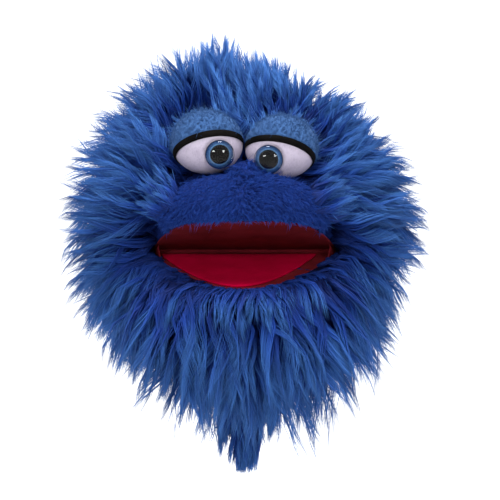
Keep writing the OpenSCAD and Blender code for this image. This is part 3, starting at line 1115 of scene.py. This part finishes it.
def corner_cloths():
    """The strips of lining that close the mouth's corners, from the palate's side edge to the floor's."""
    along = np.linspace(0, 1, 24)[:, None]
    down = np.linspace(0, 1, 17)[None, :]
    up_y, down_y = 1 + 17 * along, 1 + 16 * along
    upper = (side_edge(PALATE_SHAPE, up_y), up_y, 0.6 + 0 * up_y)
    lower = (side_edge(FLOOR_SHAPE, down_y), down_y, -2.2 + 0 * down_y)
    for side, word in SIDES.items():
        layers = []
        for let_in in (0.0, 0.8):
            sides = []
            for (x, y, z), tilt in ((upper, -PALATE_UP), (lower, FLOOR_DOWN)):
                sides.append(tilted(np.concatenate([side * (x - let_in), -y, z], 1), tilt))
            top, bottom = sides
            sheet = top[:, None, :] * (1 - down[..., None]) + bottom[:, None, :] * down[..., None]
            bulge = 2.0 * np.sin(math.pi * down) * along + 0.4 * np.sin(9 * down + 7 * along)
            sheet[..., 0] += side * bulge
            layers.append(FOLD + sheet * MM)
        if side < 0:
            layers.reverse()
        made = shell_object(f"mouth_corner_{word}", layers[0], layers[1], False, "maroon")
        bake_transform(made)


# ---- sleeve and pockets


def ring_rows(profile, wobble=0.0, waves=7):
    """Rows of points round Z from a profile of (radius, height), in millimetres over the arm opening."""
    turn = turns(96)
    return np.stack([circle(radius + wobble * np.sin(waves * turn + height * 0.1), height, turn)
                     for radius, height in profile]) * MM


def sleeve():
    height = (SLEEVE_HIGH[2] - SLEEVE_LOW[2]) / MM
    levels = np.linspace(0, height, 24)
    inner = ring_rows([(34.1, z) for z in levels], wobble=0.12)
    outer = ring_rows([(35.1, z) for z in levels], wobble=0.12)
    lining = shell_object("sleeve_cloth", inner, outer, True, "lining")
    stands_for(lining, "sleeve", "lining_navy", "sleeve_lining")
    low, high = corners("hem_binding")
    tall = (high[2] - low[2]) / MM
    steps = np.linspace(0, math.pi, 12)
    profile = [(35.3, 0.3)]
    profile += [(35.3 + 1.8 * math.sin(s) ** 0.5, tall * (1 - math.cos(s)) / 2) for s in steps[1:-1]]
    profile.append((35.3, tall - 0.2))
    out = ring_rows(profile, wobble=0.05, waves=40)
    inn = ring_rows([(35.15, z) for _, z in profile])
    binding = shell_object("hem_tape", inn, out, True, "lining")
    stands_for(binding, "sleeve", "binding_navy", "hem_binding")


def neck():
    """The collar of lining between the sleeve and the head."""
    low = SLEEVE_HIGH[2] / MM - 6
    profile = [(35.9 + 4.5 * s * s + 0.5 * math.sin(9 * s), low + 24 * s) for s in np.linspace(0, 1, 20)]
    inner = ring_rows([(r - 0.9, z) for r, z in profile], wobble=0.3, waves=11)
    outer = ring_rows(profile, wobble=0.3, waves=11)
    made = shell_object("neck_cloth", inner, outer, True, "lining")
    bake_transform(made)


def pocket(name, source, body, tilt, width, length, low, height):
    """A cloth pocket open at the back and rounded at its tip."""
    around, start, power = 64, 8.0, 3.5
    turn = turns(around)
    layers = []
    for let_in in (0.0, 1.0):
        grid = []
        for s in np.linspace(0, 1, 28):
            forward = start + (length - start - let_in) * math.sin(s * math.pi / 2)
            closing = max(1 - s ** 6, 0.02)
            narrowing = ((forward - start) / (length - start)) ** power * 0.999
            half_w = (width - let_in) * (1 - narrowing) ** (1 / power)
            half_h = (height / 2 - let_in) * closing ** 0.5
            cos, sin = np.cos(turn), np.sin(turn)
            x = half_w * np.sign(cos) * np.abs(cos) ** 0.55
            z = low + height / 2 + half_h * np.sign(sin) * np.abs(sin) ** 0.55
            z = z + 0.4 * np.sin(forward * 0.3 + turn * 3) * closing
            grid.append(np.stack([x, np.full(around, -forward), z], 1))
        layers.append(np.stack(grid))
    outer, inner = (FOLD + tilted(layer, tilt) * MM for layer in layers)
    made = shell_object(name, inner, outer, True, "lining")
    stands_for(made, body, "lining_navy", source)


def pockets():
    pocket("finger_pocket_cloth", "finger_pocket", "head", -PALATE_UP, 43.5, 66.5, 4.3, 21.4)
    pocket("thumb_pocket_cloth", "thumb_pocket", "jaw", FLOOR_DOWN, 25.5, 55.5, -28.7, 24.4)


# ---- stage


def stage():
    """A pale round floor that curves up into a wall. It glows behind the puppet, and dimly in front, where
    the eyes mirror it."""
    floor = CAD_BOX[0][2] - 0.03
    flat, curve, wall, around = 5.4, 2.16, 6.3, 96
    steps = np.linspace(0, math.pi / 2, 16)
    profile = [(0.02, floor), (0.5, floor), (1.5, floor)]
    profile += [(flat + curve * math.sin(a), floor + curve * (1 - math.cos(a))) for a in steps]
    profile.append((flat + curve, wall))
    rows = np.stack([circle(r, z, turns(around)) for r, z in profile])
    faces = grid_faces(len(profile), around, True) + [tuple(range(around - 1, -1, -1))]
    look = new_material("pale_stage", 0.9, Base_Color=(0.45, 0.45, 0.45, 1.0),
                        Emission_Color=(1, 1, 1, 1))
    where = split_of(look, node(look, "TexCoord").outputs["Object"])
    rise = node(look, "MapRange", interpolation_type="SMOOTHSTEP")
    for socket, value in zip(("From Min", "From Max", "To Min", "To Max"), (-0.3, 0.0, 0.2, 1.0)):
        rise.inputs[socket].default_value = value
    link(look, where["Y"], rise.inputs["Value"])
    link(look, rise.outputs["Result"], shader_of(look).inputs["Emission Strength"])
    LOOKS["stage"] = look
    made = mesh_object("stage", rows.reshape(-1, 3), faces, "stage")


def lamp(name, at, target, size, power):
    """A round soft lamp that faces a target."""
    data = bpy.data.lights.new(name, "AREA")
    data.shape = "DISK"
    data.size = size
    data.energy = power
    data.spread = math.radians(60)
    made = new_object(name, data)
    made.location = at
    made.rotation_euler = (Vector(target) - Vector(at)).to_track_quat("-Z", "Y").to_euler()


def lights():
    world = bpy.data.worlds.new("studio")
    world.use_nodes = True
    glow = world.node_tree.nodes["Background"].inputs
    glow["Color"].default_value = (1, 1, 1, 1)
    glow["Strength"].default_value = 0.3
    SCENE.world = world
    middle = tuple(place(0, -30, 20))
    lamp("key", (-0.76, -1.6, 0.5), middle, 0.42, 1.18)
    lamp("fill", (0.76, -1.6, 0.5), middle, 0.42, 1.08)
    lamp("top", (0.0, -0.45, 1.6), middle, 0.9, 4.4)


def camera():
    data = bpy.data.cameras.new("camera")
    data.sensor_width = 36
    distance, view_w = 2.2, 0.340
    data.lens = 36 * distance / view_w
    made = new_object("camera", data)
    made.location = tuple(place(4, -65, 0.7) - np.array([0, distance, 0]))
    made.rotation_euler = (math.pi / 2, 0, 0)
    SCENE.camera = made
    SCENE.view_settings.view_transform = "Standard"


camera()
stage()
lights()
carried_over()
soft_bodies()
muzzle()
for eye_side, eye_word in SIDES.items():
    eye(eye_side, eye_word)
mouth()
corner_cloths()
sleeve()
neck()
pockets()
fur()
